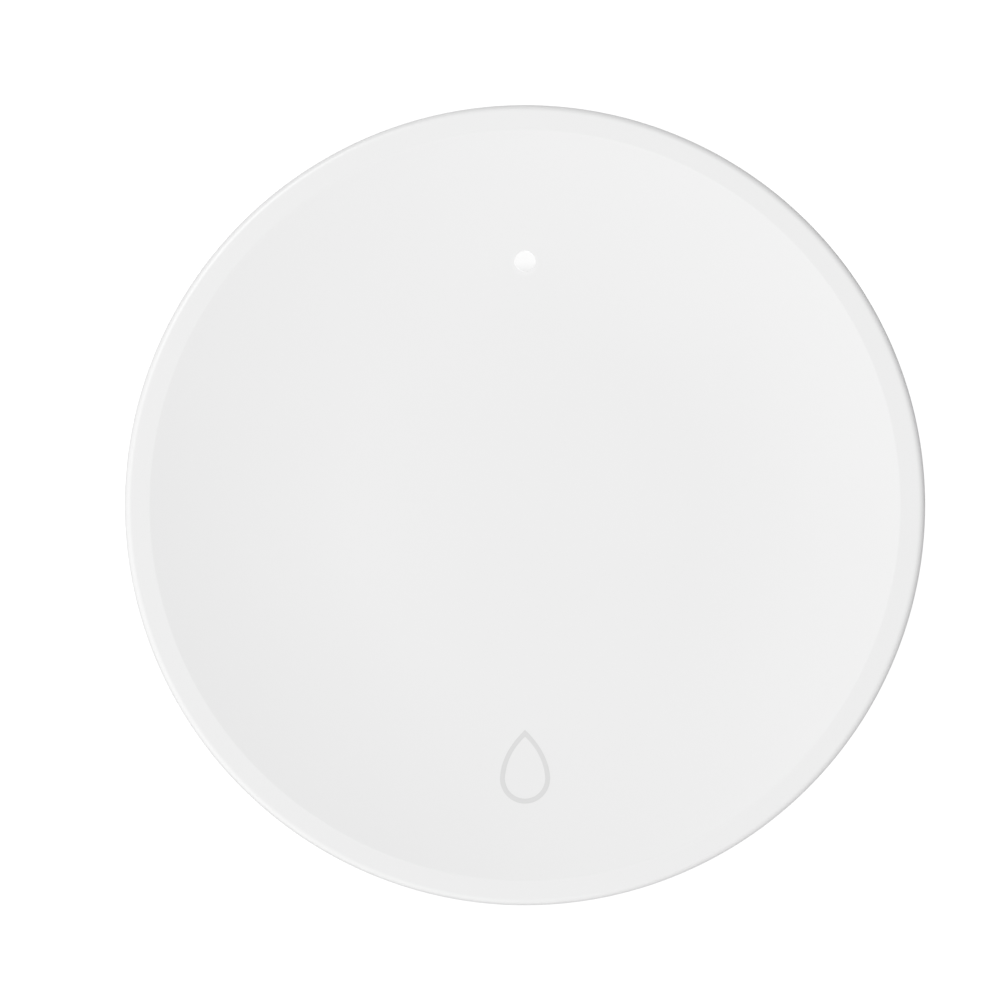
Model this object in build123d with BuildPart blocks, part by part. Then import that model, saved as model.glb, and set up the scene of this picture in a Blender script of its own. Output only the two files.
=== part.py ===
from build123d import *
from math import cos, radians, sin, sqrt
import os

# Water leak sensor: a round two-shell case that stands on four feet over four
# probe screws, with a coin cell behind a screw-in door in its underside.
# Millimetres. +Z is up, z = 0 is the floor, and the status light lies toward +Y.

os.makedirs("parts", exist_ok=True)

# Shared values
full_turn = 360.0
half_turn = 180.0
cut_overrun = 1.0  # how far a cut runs past the face that it leaves
face_fit = 0.02  # between a part and the still seat that holds it
running_fit = 0.05  # radial, between a moving part and its seat

# The case is built up round the coin cell. From the middle outwards come the cell,
# the door and its well, the chamber, the spigot and the cover's side. From the floor
# upwards come the door, the cell, the board, the radio and the cover's top.
foot_stand = 1.0  # floor to underside
chamber_width = 11.2  # well's foot to spigot
contact_room = 1.55  # cell to board
ceiling_gap = 0.61  # radio's shield to the cover's inner top

# Top cover: a shallow cup turned over, with a dished top inside a flat rim
cover_wall = 2.2
cover_top_wall = 2.0
cover_draft = 0.15  # how far the side leans in by its top
rim_width = 2.2
edge_round = 0.6
dish_depth = 1.19
dish_curve_width = 17.1  # crease to the dish's flat middle
cover_corner_chamfer = 1.0  # inside, between the side and the top
skirt_chamfer = 0.2

# Base shell
base_floor = 2.2
plinth_height = 2.1
plinth_setback = 0.4
plinth_chamfer = 1.2
seam_gap = 0.3
spigot_wall = 2.4
spigot_clearance = 0.2
spigot_chamfer = 0.4

# Seal between base and cover
case_groove_lift = 1.9  # plinth top to groove
case_groove_width = 2.0
case_groove_depth = 1.2
case_groove_land = 1.0  # groove to the spigot's top
case_seal_slack = 0.15  # over and under the seal
seal_corner = 0.3  # taken off the corners of each seal's section

# Key that lets the cover go on in one position only
key_width = 2.4
key_reach = 1.6
key_depth = 0.7
key_clearance = 0.25
key_angle = 180.0

# Screws that hold the case together, each under a foot
screw_count = 4
screw_inset = 2.7  # spigot's inner face to the screws
screw_first_angle = 45.0
screw_diameter = 2.5
screw_length = 9.0
screw_head_diameter = 4.4
screw_head_height = 1.8
screw_head_chamfer = 0.3
screw_hole_clearance = 0.2
screw_pocket_clearance = 0.2
screw_pocket_depth = 2.2
post_wall = 1.1  # round the screws' heads
post_height = 8.0
boss_wall = 1.55  # round the screws
boss_hole_spare = 0.5

# Feet
foot_diameter = 6.2
foot_recess_depth = 1.2
foot_clearance = 0.1
foot_chamfer = 0.5

# Stiffening ribs of both shells
rib_thickness = 1.2
base_rib_height = 2.8
cover_rib_height = 2.0

# Probes: each is a screw, a seal under its head and a pillar up to the board
probe_inset = 3.7  # spigot's inner face to the probes
probe_angle = 20.0  # from the X axis, on both sides of it
probe_floor_gap = 0.3
probe_diameter = 3.0  # also of the board screws, as one thread runs through the pillar
probe_head_diameter = 5.6
probe_head_height = 1.6
probe_head_chamfer = 0.6
probe_grip = 3.6  # length in the pillar
probe_hole_clearance = 0.1
probe_recess_clearance = 0.6
probe_boss_wall = 0.7
probe_boss_height = 3.7  # underside to pillar
probe_seal_margin = 0.1  # past the probe's head
probe_seal_thickness = 0.5
pillar_across_flats = 5.0
pillar_sides = 6
pillar_chamfer = 0.3

# Circuit board
board_thickness = 1.0
board_margin = 3.2  # cover's side to the board's edge
board_notch_clearance = 0.4
board_screw_grip = 3.0  # length in the pillar
board_screw_head_diameter = 5.4
board_screw_head_height = 1.8
board_screw_head_chamfer = 0.5

# Coin cell
cell_diameter = 24.5
cell_height = 7.7
cell_edge_chamfer = 0.5
cell_shoulder = 0.8  # top of the can below the top of the cap
cell_crimp = 0.45
cell_rim = 0.4  # crimp to gasket
cap_depth = 1.35
cap_chamfer = 0.35
gasket_width = 0.7
gasket_rise = 0.12

# Battery door
door_set = 0.2  # underside to the door's face
door_clearance = 0.3
door_floor = 2.2
door_edge_chamfer = 0.3
door_flange = 1.4
door_flange_reach = 2.0  # past the neck
door_neck_reach = 1.0  # past the ring
door_neck_gap = 0.15  # neck's top below the top of the seal's space
door_ring_wall = 1.6
door_ring_margin = 0.2  # lugs to the ring's top
cell_clearance = 0.35
cell_gap = 0.05  # between the door's floor and the cell
coin_slot_length = 16.0
coin_slot_width = 2.0
coin_slot_depth = 1.3

# Seal round the door's neck
door_seal_space = 1.3
door_seal_room = 1.7

# Quick thread between door and well: three lugs over three ledges
thread_starts = 3
thread_lead = 12.0
thread_clearance = 0.3
thread_flank_gap = 0.15
thread_root = 0.3  # how far lugs and ledges reach into their walls
ledge_reach = 1.0
ledge_height = 1.1
ledge_angle = 60.0
ledge_lift = 0.1
ledge_first_angle = 0.0
lug_height = 1.1
lug_angle = 40.0

# Battery well
well_wall = 1.8
well_foot_wall = 1.5
well_foot_height = 1.8  # above the base floor
well_roof = 1.2
well_roof_gap = 0.4
well_mouth_clearance = 0.4

# Sprung contacts
contact_thickness = 0.25
minus_length = 13.0
minus_width = 8.4
minus_finger_width = 2.0
minus_finger_count = 3
minus_pad_length = 3.2
minus_tip_rise = 0.5
minus_tip_length = 1.6
plus_width = 5.0
plus_pad_length = 3.6
plus_stand = 1.1  # from the can to the tongue's top bend
plus_toe_rise = 0.45
plus_toe_length = 0.7
plus_toe_lift = 0.45  # door ring to the tongue's end
plus_slot_clearance = 0.4

# Light pipe and status light
light_inset = 11.35  # crease to the light
light_pipe_diameter = 1.8
light_pipe_flange_diameter = 3.2
light_pipe_flange_thickness = 0.8
light_pipe_flange_drop = 2.5  # pipe's top to the top of its flange
light_boss_wall = 0.9
light_boss_wall_below = 0.2
light_gap = 0.3
led_length = 2.0
led_width = 1.25
led_height = 0.7

# Pairing button and the switch that it works
button_inset = 3.0  # well's foot to the button's axis
button_diameter = 5.0
button_set = 0.2  # underside to the button's face
button_travel = 0.4
button_chamfer = 0.3
button_shoulder_reach = 0.9
button_shoulder_thickness = 0.8
button_shoulder_gap = 0.05
button_stem_diameter = 2.6
button_stem_height = 0.87  # above the shoulder
button_slack = 0.08
button_groove_lift = 2.4
button_groove_width = 1.3
button_groove_depth = 0.95
sleeve_wall = 1.5
switch_side = 6.0
switch_height = 3.4
switch_round = 0.5
plunger_diameter = 3.3
plunger_out = 0.9
plunger_in = 0.8
plunger_spare = 0.2

# Radio module
radio_inset = 3.6  # board's edge to the module's antenna end
radio_width = 13.0
radio_length = 17.0
radio_thickness = 0.8
shield_width = 11.0
shield_length = 10.0
shield_height = 1.7
shield_round = 0.3
shield_edge = 1.0  # board showing past the shield at its inner end

# Parts on the board
chip_x = -9.0
chip_y = 1.0
chip_side = 5.0
chip_height = 0.9
crystal_x = -9.0
crystal_y = 7.5
crystal_length = 3.2
crystal_width = 2.5
crystal_height = 0.8
reservoir_x = 10.0
reservoir_y = 3.0
reservoir_length = 7.3
reservoir_width = 4.3
reservoir_height = 2.0
capacitor_x = 10.5
capacitor_y = -5.5
capacitor_columns = 3
capacitor_rows = 2
capacitor_spacing = 3.0
capacitor_length = 1.6
capacitor_width = 0.8
capacitor_height = 0.8

# Heights of the door
underside_z = foot_stand
door_face_z = underside_z + door_set
door_floor_z = door_face_z + door_floor
door_flange_z = door_face_z + door_flange

# Radii of the cell, the door and the well
cell_radius = cell_diameter / 2
door_ring_bore = cell_radius + cell_clearance
door_ring_radius = door_ring_bore + door_ring_wall
door_neck_radius = door_ring_radius + door_neck_reach
door_radius = door_neck_radius + door_flange_reach
ledge_inner_radius = door_ring_radius + thread_clearance
well_bore = ledge_inner_radius + ledge_reach
lug_outer_radius = well_bore - thread_clearance
well_recess_radius = door_radius + door_clearance
well_seal_radius = door_neck_radius + door_seal_space
well_mouth_radius = cell_radius + well_mouth_clearance
well_radius = well_bore + well_wall
well_foot_radius = well_recess_radius + well_foot_wall
plus_slot_y = cell_radius + plus_stand + plus_slot_clearance

# Heights of the well and of the quick thread in it. A ledge or a lug has its height
# at its low end.
well_recess_z = door_flange_z + door_clearance
well_seal_z = door_flange_z + door_seal_room
door_neck_z = well_seal_z - door_neck_gap
ledge_z = well_seal_z + ledge_lift
lug_lag_angle = (ledge_angle - lug_angle) / 2
lug_z = ledge_z + ledge_height + thread_flank_gap + thread_lead * lug_lag_angle / full_turn
lug_top_z = lug_z + thread_lead * lug_angle / full_turn + lug_height
lug_first_angle = ledge_first_angle + lug_lag_angle
door_ring_z = lug_top_z + door_ring_margin
well_roof_z = door_ring_z + well_roof_gap
well_top_z = well_roof_z + well_roof

# Radii of the case
spigot_inner_radius = well_foot_radius + chamber_width
spigot_radius = spigot_inner_radius + spigot_wall
cover_bore = spigot_radius + spigot_clearance
case_radius = cover_bore + cover_wall
plinth_radius = case_radius - plinth_setback
rim_radius = case_radius - cover_draft
crease_radius = rim_radius - rim_width
dish_flat_radius = crease_radius - dish_curve_width
case_groove_radius = spigot_radius - case_groove_depth

# Heights of the case
base_floor_z = underside_z + base_floor
well_foot_z = base_floor_z + well_foot_height
plinth_top_z = underside_z + plinth_height
skirt_z = plinth_top_z + seam_gap
case_groove_z = plinth_top_z + case_groove_lift
spigot_top_z = case_groove_z + case_groove_width + case_groove_land
cell_z = door_floor_z + cell_gap
cell_top_z = cell_z + cell_height
board_z = cell_top_z + contact_room
board_top_z = board_z + board_thickness
radio_top_z = board_top_z + radio_thickness
ceiling_z = radio_top_z + shield_height + ceiling_gap
dish_z = ceiling_z + cover_top_wall
case_height = dish_z + dish_depth

# The dish is an arc that leaves the flat middle level and ends at the crease
dish_arc_radius = (dish_curve_width**2 + dish_depth**2) / (2 * dish_depth)


def dish_surface_z(radius):
    """Height of the cover's top at this distance from the centre, inside the crease."""
    run = max(radius - dish_flat_radius, 0)
    return dish_z + dish_arc_radius - sqrt(dish_arc_radius**2 - run**2)


def polar_point(radius, angle):
    """Point at this distance and angle from the centre."""
    return (radius * cos(radians(angle)), radius * sin(radians(angle)))


# Screws, posts, bosses and feet
screw_circle_radius = spigot_inner_radius - screw_inset
foot_seat_z = underside_z + foot_recess_depth
screw_seat_z = foot_seat_z + screw_pocket_depth
screw_tip_z = screw_seat_z + screw_length
screw_pocket_radius = screw_head_diameter / 2 + screw_pocket_clearance
post_radius = screw_pocket_radius + post_wall
boss_radius = screw_diameter / 2 + boss_wall
joint_z = underside_z + post_height  # where the cover's bosses stand on the posts
foot_places = [
    polar_point(screw_circle_radius, screw_first_angle + full_turn * turn / screw_count)
    for turn in range(screw_count)
]

# Probes with their seals and pillars
probe_circle_radius = spigot_inner_radius - probe_inset
probe_radius = probe_diameter / 2
probe_seal_radius = probe_head_diameter / 2 + probe_seal_margin
probe_recess_radius = probe_seal_radius + probe_recess_clearance
probe_seal_z = probe_floor_gap + probe_head_height
probe_seat_z = probe_seal_z + probe_seal_thickness
pillar_z = underside_z + probe_boss_height
probe_places = [
    polar_point(probe_circle_radius, angle)
    for angle in (
        probe_angle,
        half_turn - probe_angle,
        half_turn + probe_angle,
        full_turn - probe_angle,
    )
]

# Light pipe
light_radius = crease_radius - light_inset
light_top_z = dish_surface_z(light_radius)
light_seat_z = light_top_z - light_pipe_flange_drop
light_flange_z = light_seat_z - light_pipe_flange_thickness
light_boss_z = light_flange_z - light_boss_wall_below
light_boss_radius = light_pipe_flange_diameter / 2 + light_boss_wall
light_bottom_z = board_top_z + led_height + light_gap
light_place = (0, light_radius)

# Button, from the switch down
button_distance = well_foot_radius + button_inset
button_place = (0, -button_distance)
switch_z = board_z - switch_height
plunger_z = switch_z - plunger_out
button_top_z = plunger_z - button_slack
button_shoulder_z = button_top_z - button_stem_height - button_shoulder_thickness
sleeve_top_z = button_shoulder_z - button_shoulder_gap
button_face_z = underside_z + button_set
button_radius = button_diameter / 2
button_bore = button_radius + running_fit
button_groove_z = underside_z + button_groove_lift
button_groove_radius = button_radius - button_groove_depth


def thread_ridge(inner_radius, outer_radius, height, turn_angle, start_z):
    """One ridge of the quick thread, from angle 0, with its lower edge starting at start_z."""
    mean_radius = (inner_radius + outer_radius) / 2
    middle_z = start_z + height / 2
    with BuildPart() as ridge:
        with BuildLine() as ridge_path:
            Helix(
                pitch=thread_lead,
                height=thread_lead * turn_angle / full_turn,
                radius=mean_radius,
                center=(0, 0, middle_z),
            )
        with BuildSketch(Plane.XZ) as ridge_section:
            with Locations((mean_radius, middle_z)):
                Rectangle(outer_radius - inner_radius, height)
        sweep(sections=ridge_section.sketch, path=ridge_path.line, is_frenet=True)
    return ridge.part


# Top cover
with BuildPart() as top_cover:
    with BuildSketch(Plane.XZ) as cover_profile:
        with BuildLine():
            Line((0, dish_z), (dish_flat_radius, dish_z))
            TangentArc(
                (dish_flat_radius, dish_z), (crease_radius, case_height), tangent=(1, 0)
            )
            Polyline(
                (crease_radius, case_height),
                (rim_radius, case_height),
                (case_radius, skirt_z),
                (cover_bore, skirt_z),
                (cover_bore, ceiling_z + dish_depth),
                (dish_flat_radius, ceiling_z),
                (0, ceiling_z),
                (0, dish_z),
            )
        make_face()
        rim_corner = cover_profile.vertices().sort_by_distance((rim_radius, case_height))[0]
        fillet(rim_corner, radius=edge_round)
        inner_corner = cover_profile.vertices().sort_by_distance(
            (cover_bore, ceiling_z + dish_depth)
        )[0]
        chamfer(inner_corner, length=cover_corner_chamfer)
        skirt_corner = cover_profile.vertices().sort_by_distance((cover_bore, skirt_z))[0]
        chamfer(skirt_corner, length=skirt_chamfer)
    revolve(axis=Axis.Z)

    # Screw bosses that stand on the base's posts, each tied to the side by a rib
    with BuildSketch(Plane.XY.offset(joint_z)):
        with PolarLocations(screw_circle_radius, screw_count, start_angle=screw_first_angle):
            Circle(boss_radius)
    extrude(amount=dish_z - joint_z)
    with BuildSketch(Plane.XY.offset(ceiling_z - cover_rib_height)):
        with PolarLocations(0, screw_count, start_angle=screw_first_angle):
            with Locations(((screw_circle_radius + case_radius - cover_wall / 2) / 2, 0)):
                Rectangle(case_radius - cover_wall / 2 - screw_circle_radius, rib_thickness)
    extrude(amount=cover_rib_height + cover_top_wall)
    with BuildSketch(Plane.XY.offset(joint_z)):
        with PolarLocations(screw_circle_radius, screw_count, start_angle=screw_first_angle):
            Circle(screw_diameter / 2 + face_fit)
    extrude(amount=screw_tip_z + boss_hole_spare - joint_z, mode=Mode.SUBTRACT)

    # Boss of the light pipe
    with BuildSketch(Plane.XY.offset(light_boss_z)):
        with Locations(light_place):
            Circle(light_boss_radius)
    extrude(amount=dish_z - light_boss_z)
    with BuildSketch(Plane.XY.offset(light_boss_z)):
        with Locations(light_place):
            Circle(light_pipe_flange_diameter / 2 + face_fit)
    extrude(amount=light_seat_z - light_boss_z, mode=Mode.SUBTRACT)
    with BuildSketch(Plane.XY.offset(light_seat_z)):
        with Locations(light_place):
            Circle(light_pipe_diameter / 2 + face_fit)
    extrude(amount=case_height - light_seat_z, mode=Mode.SUBTRACT)

    # Key that drops into the spigot's notch
    with BuildSketch(Plane.XY.offset(spigot_top_z - key_depth)):
        with PolarLocations(0, 1, start_angle=key_angle):
            with Locations(((cover_bore + case_radius - cover_wall / 2 - key_reach) / 2, 0)):
                Rectangle(key_reach + cover_wall / 2, key_width)
    extrude(amount=dish_z - spigot_top_z + key_depth)

top_cover.part.label = "top_cover"
export_step(top_cover.part, "parts/top_cover.step")

# Light pipe
with BuildPart() as light_pipe:
    with BuildSketch(Plane.XY.offset(light_bottom_z)):
        with Locations(light_place):
            Circle(light_pipe_diameter / 2)
    extrude(amount=light_top_z - light_bottom_z)
    with BuildSketch(Plane.XY.offset(light_flange_z)):
        with Locations(light_place):
            Circle(light_pipe_flange_diameter / 2)
    extrude(amount=light_pipe_flange_thickness)

light_pipe.part.label = "light_pipe"
export_step(light_pipe.part, "parts/light_pipe.step")

# Base shell
ledge = thread_ridge(
    ledge_inner_radius, well_bore + thread_root, ledge_height, ledge_angle, ledge_z
)

with BuildPart() as base_shell:
    with BuildSketch(Plane.XZ) as base_profile:
        with BuildLine():
            Polyline(
                (0, underside_z),
                (plinth_radius, underside_z),
                (plinth_radius, plinth_top_z),
                (spigot_radius, plinth_top_z),
                (spigot_radius, spigot_top_z),
                (spigot_inner_radius, spigot_top_z),
                (spigot_inner_radius, base_floor_z),
                (well_foot_radius, base_floor_z),
                (well_foot_radius, well_foot_z),
                (well_radius, well_foot_z),
                (well_radius, well_top_z),
                (0, well_top_z),
                close=True,
            )
        make_face()
        plinth_corner = base_profile.vertices().sort_by_distance((plinth_radius, underside_z))[0]
        chamfer(plinth_corner, length=plinth_chamfer)
        spigot_corner = base_profile.vertices().sort_by_distance((spigot_radius, spigot_top_z))[0]
        chamfer(spigot_corner, length=spigot_chamfer)
    revolve(axis=Axis.Z)

    # Screw posts, probe bosses, button sleeve and ribs
    with BuildSketch(Plane.XY.offset(base_floor_z)):
        with Locations(foot_places):
            Circle(post_radius)
    extrude(amount=joint_z - base_floor_z)
    with BuildSketch(Plane.XY.offset(base_floor_z)):
        with Locations(probe_places):
            Circle(probe_recess_radius + probe_boss_wall)
    extrude(amount=pillar_z - base_floor_z)
    with BuildSketch(Plane.XY.offset(base_floor_z)):
        with Locations(button_place):
            Circle(button_bore + sleeve_wall)
    extrude(amount=sleeve_top_z - base_floor_z)
    with BuildSketch(Plane.XY.offset(base_floor_z)):
        with PolarLocations(0, screw_count, start_angle=screw_first_angle):
            with Locations(((well_bore + screw_circle_radius) / 2, 0)):
                Rectangle(screw_circle_radius - well_bore, rib_thickness)
    extrude(amount=base_rib_height)

    # Groove of the seal in the spigot
    with BuildSketch(Plane.XY.offset(case_groove_z)):
        Circle(case_radius)
        Circle(case_groove_radius, mode=Mode.SUBTRACT)
    extrude(amount=case_groove_width, mode=Mode.SUBTRACT)

    # Battery well: recess of the door's flange, room for its seal, bore and mouth
    with BuildSketch(Plane.XZ):
        with BuildLine():
            Polyline(
                (0, underside_z - cut_overrun),
                (well_recess_radius, underside_z - cut_overrun),
                (well_recess_radius, well_recess_z),
                (well_seal_radius, well_recess_z),
                (well_seal_radius, well_seal_z),
                (well_bore, well_seal_z),
                (well_bore, well_roof_z),
                (well_mouth_radius, well_roof_z),
                (well_mouth_radius, well_top_z + cut_overrun),
                (0, well_top_z + cut_overrun),
                close=True,
            )
        make_face()
    revolve(axis=Axis.Z, mode=Mode.SUBTRACT)

    # Ledges of the quick thread
    with PolarLocations(0, thread_starts, start_angle=ledge_first_angle):
        add(ledge)

    # Pockets for the feet and the screw heads, and the screws' holes
    with BuildSketch(Plane.XY.offset(underside_z - cut_overrun)):
        with Locations(foot_places):
            Circle(foot_diameter / 2 + foot_clearance)
    extrude(amount=cut_overrun + foot_recess_depth, mode=Mode.SUBTRACT)
    with BuildSketch(Plane.XY.offset(foot_seat_z)):
        with Locations(foot_places):
            Circle(screw_pocket_radius)
    extrude(amount=screw_pocket_depth, mode=Mode.SUBTRACT)
    with BuildSketch(Plane.XY.offset(screw_seat_z)):
        with Locations(foot_places):
            Circle(screw_diameter / 2 + screw_hole_clearance)
    extrude(amount=joint_z + cut_overrun - screw_seat_z, mode=Mode.SUBTRACT)

    # Recesses and holes of the probes
    with BuildSketch(Plane.XY.offset(underside_z - cut_overrun)):
        with Locations(probe_places):
            Circle(probe_recess_radius)
    extrude(amount=cut_overrun + probe_seat_z - underside_z, mode=Mode.SUBTRACT)
    with BuildSketch(Plane.XY.offset(probe_seat_z)):
        with Locations(probe_places):
            Circle(probe_radius + probe_hole_clearance)
    extrude(amount=pillar_z + cut_overrun - probe_seat_z, mode=Mode.SUBTRACT)

    # Bore of the button
    with BuildSketch(Plane.XY.offset(underside_z - cut_overrun)):
        with Locations(button_place):
            Circle(button_bore)
    extrude(amount=sleeve_top_z - underside_z + 2 * cut_overrun, mode=Mode.SUBTRACT)

    # Slot in the well's roof for the tongue on the side of the cell
    with BuildSketch(Plane.XY.offset(well_roof_z)):
        with Locations((0, (cell_radius + plus_slot_y) / 2)):
            Rectangle(plus_width + 2 * plus_slot_clearance, plus_slot_y - cell_radius)
    extrude(amount=well_roof + cut_overrun, mode=Mode.SUBTRACT)

    # Notch for the cover's key
    with BuildSketch(Plane.XY.offset(spigot_top_z - key_depth - key_clearance)):
        with PolarLocations(0, 1, start_angle=key_angle):
            with Locations((cover_bore, 0)):
                Rectangle(2 * (key_reach + key_clearance), key_width + 2 * key_clearance)
    extrude(amount=key_depth + key_clearance + cut_overrun, mode=Mode.SUBTRACT)

base_shell.part.label = "base_shell"
export_step(base_shell.part, "parts/base_shell.step")

# Seal between the shells, squeezed in the spigot's groove
with BuildPart() as case_seal:
    with BuildSketch(Plane.XZ) as case_seal_section:
        with Locations(
            ((case_groove_radius + cover_bore) / 2, case_groove_z + case_groove_width / 2)
        ):
            Rectangle(
                cover_bore - case_groove_radius - 2 * face_fit,
                case_groove_width - 2 * case_seal_slack,
            )
        chamfer(case_seal_section.vertices(), length=seal_corner)
    revolve(axis=Axis.Z)

case_seal.part.label = "case_seal"
export_step(case_seal.part, "parts/case_seal.step")

# Case screws, one group of identical screws
with BuildPart() as case_screws:
    with BuildSketch(Plane.XY.offset(screw_seat_z)):
        with Locations(foot_places):
            Circle(screw_head_diameter / 2)
    extrude(amount=-screw_head_height)
    screw_head_edges = case_screws.edges().group_by(Axis.Z)[0]
    chamfer(screw_head_edges, length=screw_head_chamfer)
    with BuildSketch(Plane.XY.offset(screw_seat_z)):
        with Locations(foot_places):
            Circle(screw_diameter / 2)
    extrude(amount=screw_length)

case_screws.part.label = "case_screws"
export_step(case_screws.part, "parts/case_screws.step")


def make_foot(place):
    """One foot: a soft plug that covers its screw and stands on the floor."""
    with BuildPart() as foot:
        with BuildSketch(Plane.XY):
            with Locations(place):
                Circle(foot_diameter / 2)
        extrude(amount=foot_seat_z)
        chamfer(foot.edges().group_by(Axis.Z)[0], length=foot_chamfer)
    return foot.part


for number, place in enumerate(foot_places, start=1):
    foot_part = make_foot(place)
    foot_part.label = f"foot_{number}"
    export_step(foot_part, f"parts/foot_{number}.step")


def make_probe_screw(place):
    """One probe: a bevelled screw whose head hangs just over the floor."""
    with BuildPart() as probe_screw:
        with BuildSketch(Plane.XY.offset(probe_floor_gap)):
            with Locations(place):
                Circle(probe_head_diameter / 2)
        extrude(amount=probe_head_height)
        chamfer(probe_screw.edges().group_by(Axis.Z)[0], length=probe_head_chamfer)
        with BuildSketch(Plane.XY.offset(probe_seal_z)):
            with Locations(place):
                Circle(probe_radius)
        extrude(amount=pillar_z + probe_grip - probe_seal_z)
    return probe_screw.part


def make_probe_seal(place):
    """The soft washer between a probe's head and the base."""
    with BuildPart() as probe_seal:
        with BuildSketch(Plane.XY.offset(probe_seal_z)):
            with Locations(place):
                Circle(probe_seal_radius)
                Circle(probe_radius + face_fit, mode=Mode.SUBTRACT)
        extrude(amount=probe_seal_thickness)
    return probe_seal.part


def make_probe_pillar(place):
    """The hexagonal pillar that a probe screws into and the board stands on."""
    with BuildPart() as probe_pillar:
        with BuildSketch(Plane.XY.offset(pillar_z)):
            with Locations(place):
                RegularPolygon(pillar_across_flats / 2, pillar_sides, major_radius=False)
        extrude(amount=board_z - pillar_z)
        chamfer(probe_pillar.edges().group_by(Axis.Z)[-1], length=pillar_chamfer)
        with BuildSketch(Plane.XY.offset(pillar_z)):
            with Locations(place):
                Circle(probe_radius + face_fit)
        extrude(amount=board_z - pillar_z, mode=Mode.SUBTRACT)
    return probe_pillar.part


for number, place in enumerate(probe_places, start=1):
    screw_part = make_probe_screw(place)
    screw_part.label = f"probe_screw_{number}"
    export_step(screw_part, f"parts/probe_screw_{number}.step")
    seal_part = make_probe_seal(place)
    seal_part.label = f"probe_seal_{number}"
    export_step(seal_part, f"parts/probe_seal_{number}.step")
    pillar_part = make_probe_pillar(place)
    pillar_part.label = f"probe_pillar_{number}"
    export_step(pillar_part, f"parts/probe_pillar_{number}.step")

# Battery door
lug = thread_ridge(
    door_ring_radius - thread_root, lug_outer_radius, lug_height, lug_angle, lug_z
)

with BuildPart() as battery_door:
    with BuildSketch(Plane.XZ) as door_profile:
        with BuildLine():
            Polyline(
                (0, door_face_z),
                (door_radius, door_face_z),
                (door_radius, door_flange_z),
                (door_neck_radius, door_flange_z),
                (door_neck_radius, door_neck_z),
                (door_ring_radius, door_neck_z),
                (door_ring_radius, door_ring_z),
                (door_ring_bore, door_ring_z),
                (door_ring_bore, door_floor_z),
                (0, door_floor_z),
                close=True,
            )
        make_face()
        face_corner = door_profile.vertices().sort_by_distance((door_radius, door_face_z))[0]
        chamfer(face_corner, length=door_edge_chamfer)
    revolve(axis=Axis.Z)
    with PolarLocations(0, thread_starts, start_angle=lug_first_angle):
        add(lug)
    with BuildSketch(Plane.XY.offset(door_face_z - cut_overrun)):
        SlotOverall(coin_slot_length, coin_slot_width)
    extrude(amount=cut_overrun + coin_slot_depth, mode=Mode.SUBTRACT)

battery_door.part.label = "battery_door"
export_step(battery_door.part, "parts/battery_door.step")

# Seal round the door's neck
with BuildPart() as door_seal:
    with BuildSketch(Plane.XZ) as door_seal_section:
        with Locations(
            (door_neck_radius + door_seal_space / 2, door_flange_z + door_seal_room / 2)
        ):
            Rectangle(door_seal_space - 2 * running_fit, door_seal_room - 2 * running_fit)
        chamfer(door_seal_section.vertices(), length=seal_corner)
    revolve(axis=Axis.Z)

door_seal.part.label = "door_seal"
export_step(door_seal.part, "parts/door_seal.step")

# Coin cell: can, gasket and cap
can_top_z = cell_top_z - cell_shoulder
cap_z = cell_top_z - cap_depth
gasket_radius = cell_radius - cell_crimp - cell_rim
cap_radius = gasket_radius - gasket_width

with BuildPart() as battery_can:
    with BuildSketch(Plane.XZ) as can_profile:
        with BuildLine():
            Polyline(
                (0, cell_z),
                (cell_radius, cell_z),
                (cell_radius, can_top_z - cell_crimp),
                (cell_radius - cell_crimp, can_top_z),
                (gasket_radius, can_top_z),
                (gasket_radius, cap_z),
                (0, cap_z),
                close=True,
            )
        make_face()
        can_corner = can_profile.vertices().sort_by_distance((cell_radius, cell_z))[0]
        chamfer(can_corner, length=cell_edge_chamfer)
    revolve(axis=Axis.Z)

battery_can.part.label = "battery_can"
export_step(battery_can.part, "parts/battery_can.step")

with BuildPart() as battery_gasket:
    with BuildSketch(Plane.XY.offset(cap_z)):
        Circle(gasket_radius)
        Circle(cap_radius, mode=Mode.SUBTRACT)
    extrude(amount=can_top_z + gasket_rise - cap_z)

battery_gasket.part.label = "battery_gasket"
export_step(battery_gasket.part, "parts/battery_gasket.step")

with BuildPart() as battery_cap:
    with BuildSketch(Plane.XY.offset(cap_z)):
        Circle(cap_radius)
    extrude(amount=cap_depth)
    chamfer(battery_cap.edges().group_by(Axis.Z)[-1], length=cap_chamfer)

battery_cap.part.label = "battery_cap"
export_step(battery_cap.part, "parts/battery_cap.step")

# Sprung contact on the cell's cap: three fingers bent down from one pad
leaf_z = board_z - contact_thickness / 2
minus_touch_z = cell_top_z + running_fit + contact_thickness / 2
minus_end = minus_length / 2
minus_bend = minus_end - minus_pad_length
minus_touch = minus_end - minus_tip_length
minus_pitch = (minus_width - minus_finger_width) / (minus_finger_count - 1)

with BuildPart() as negative_contact:
    with BuildSketch(Plane.XZ):
        with BuildLine():
            Polyline(
                (-minus_end, leaf_z),
                (-minus_bend, leaf_z),
                (minus_touch, minus_touch_z),
                (minus_end, minus_touch_z + minus_tip_rise),
            )
        trace(line_width=contact_thickness)
    extrude(amount=minus_width / 2, both=True)
    with BuildSketch(Plane.XY.offset(cell_top_z)):
        with GridLocations(0, minus_pitch, 1, minus_finger_count - 1):
            with Locations(((minus_end - minus_bend + contact_thickness) / 2, 0)):
                Rectangle(minus_end + minus_bend + contact_thickness, minus_pitch - minus_finger_width)
    extrude(amount=board_z - cell_top_z, mode=Mode.SUBTRACT)

negative_contact.part.label = "negative_contact"
export_step(negative_contact.part, "parts/negative_contact.step")

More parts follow.
